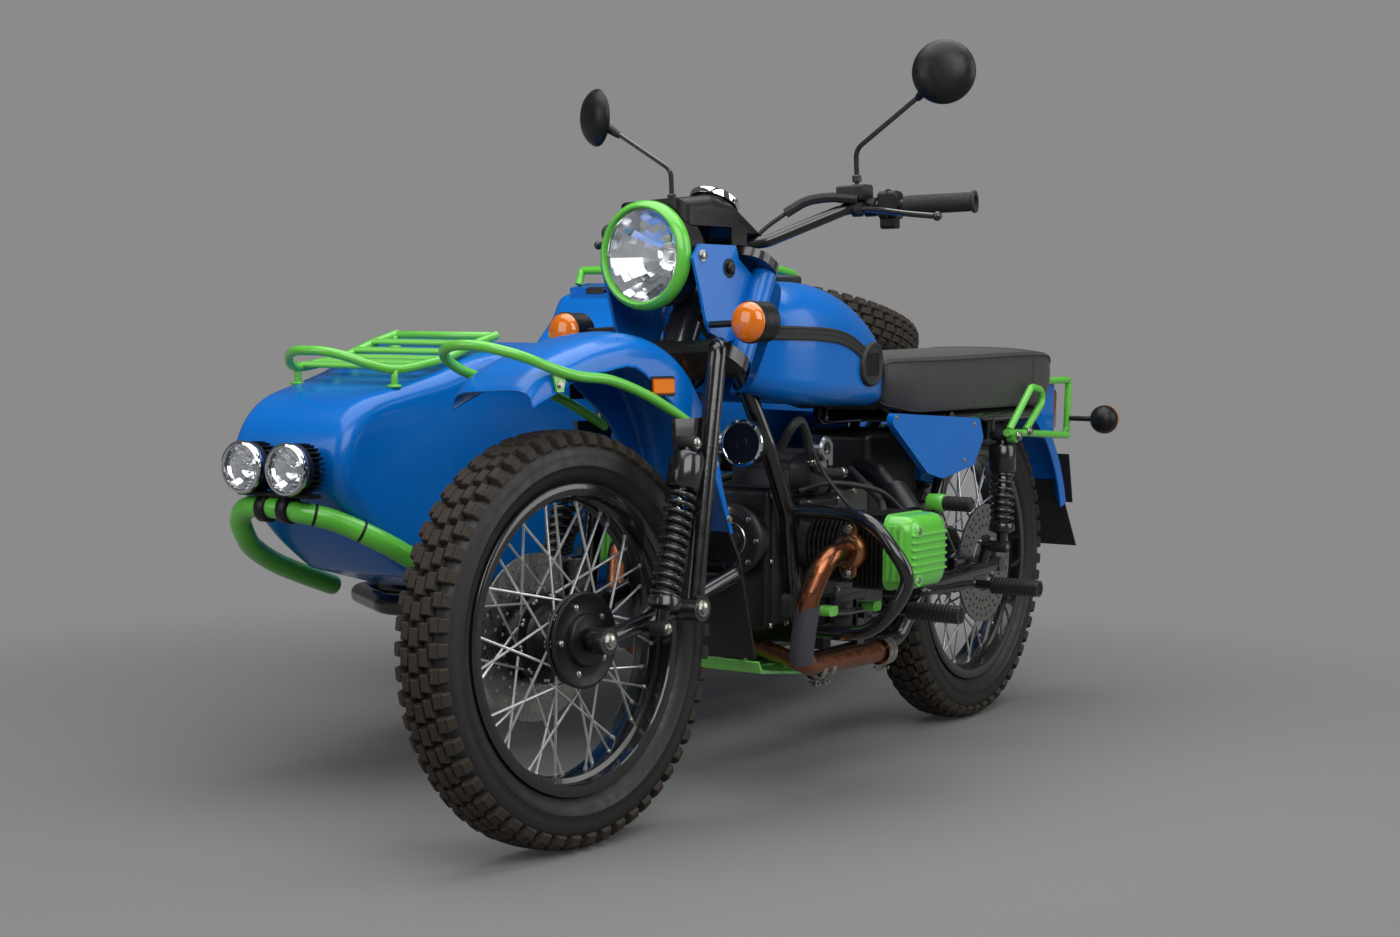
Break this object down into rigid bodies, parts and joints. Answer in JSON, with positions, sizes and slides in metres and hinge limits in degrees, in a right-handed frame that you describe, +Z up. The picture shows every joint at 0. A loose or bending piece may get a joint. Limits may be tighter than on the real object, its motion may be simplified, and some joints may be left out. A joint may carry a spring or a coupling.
{
  "type": "sidecar motorcycle",
  "caption": "Flat-twin motorcycle with a leading-link fork and a one-seat sidecar on its right, with racks, a spare wheel and a trunk lid.",
  "frame": {"origin": "on the ground, under the middle of the whole vehicle's outline", "axes": "+X forward, +Y to the rider's left, +Z up"},
  "size_m": [2.5771, 1.6722, 1.3636],
  "materials": {
    "blue_paint": "gloss",
    "green_paint": "gloss",
    "black_paint": "satin",
    "engine_black": "satin",
    "copper_pipe": "satin",
    "clear_lens": "clear",
    "amber_lens": "gloss",
    "red_lens": "gloss",
    "black_plastic": "satin",
    "black_rubber": "matte",
    "seat_cover": "matte",
    "tyre_rubber": "matte",
    "wheel_metal": "gloss"
  },
  "bodies": {
    "motorcycle": {"main_frame": "black_paint", "engine": "engine_black", "rocker_covers": "green_paint", "exhaust_pipes": "copper_pipe", "crash_bars": "black_paint", "skid_plate": "green_paint", "airbox": "black_plastic", "fuel_tank": "blue_paint", "bench_seat": "seat_cover", "side_covers": "blue_paint", "rear_fender": "blue_paint", "tail_lamp": "red_lens", "plate_and_flap": "black_rubber", "grab_rails": "green_paint", "rear_signals": "black_plastic", "swing_arm": "black_paint", "rear_shocks": "black_paint", "foot_pegs": "black_rubber", "kick_lever": "green_paint", "horns": "black_paint", "sidecar_tub": "blue_paint", "nose_rack": "green_paint", "cockpit_seat": "seat_cover", "sidecar_chassis": "black_paint", "sidecar_arm": "black_paint", "sidecar_fender": "blue_paint", "bumper": "green_paint", "spot_lamps": "black_plastic", "spare_tyre": "tyre_rubber", "spare_wheel": "wheel_metal"},
    "fork_group": {"fork": "black_paint", "leading_link": "black_paint", "front_shocks": "black_paint", "front_fender": "blue_paint", "front_flap": "black_rubber", "fender_guard": "green_paint", "fork_covers": "blue_paint", "headlamp_bucket": "black_paint", "headlamp_ring": "green_paint", "headlamp_lens": "clear_lens", "nacelle": "black_plastic", "handlebar": "black_paint", "hand_controls": "black_plastic", "mirrors": "black_plastic", "front_signals": "black_plastic", "signal_lenses": "amber_lens"},
    "front_wheel": {"front_tyre": "tyre_rubber", "front_wheel": "wheel_metal"},
    "rear_wheel": {"rear_tyre": "tyre_rubber", "rear_wheel": "wheel_metal"},
    "sidecar_wheel": {"sidecar_tyre": "tyre_rubber", "sidecar_wheel": "wheel_metal"},
    "trunk_lid": {"trunk_lid": "blue_paint", "trunk_rack": "green_paint"}
  },
  "joints": [
    {"name": "steering", "type": "hinge", "parent": "motorcycle", "child": "fork_group", "pos_m": [0.863, 0.383, 0.345], "axis": [-0.4695, 0, 0.8829], "range_deg": [-25.5, 38.5]},
    {"name": "front_wheel_spin", "type": "hinge", "parent": "fork_group", "child": "front_wheel", "pos_m": [0.94185, 0.375, 0.3462], "axis": [0.1, 0.9936, 0.0531], "continuous": true},
    {"name": "rear_wheel_spin", "type": "hinge", "parent": "motorcycle", "child": "rear_wheel", "pos_m": [-0.557, 0.383, 0.345], "axis": [0, 1, 0], "continuous": true},
    {"name": "sidecar_wheel_spin", "type": "hinge", "parent": "motorcycle", "child": "sidecar_wheel", "pos_m": [-0.557, -0.752, 0.345], "axis": [0, 1, 0], "continuous": true},
    {"name": "trunk_lid_hinge", "type": "hinge", "parent": "motorcycle", "child": "trunk_lid", "pos_m": [-0.337, -0.282, 0.9383], "axis": [0, 1, 0], "range_deg": [0, 75]}
  ]
}
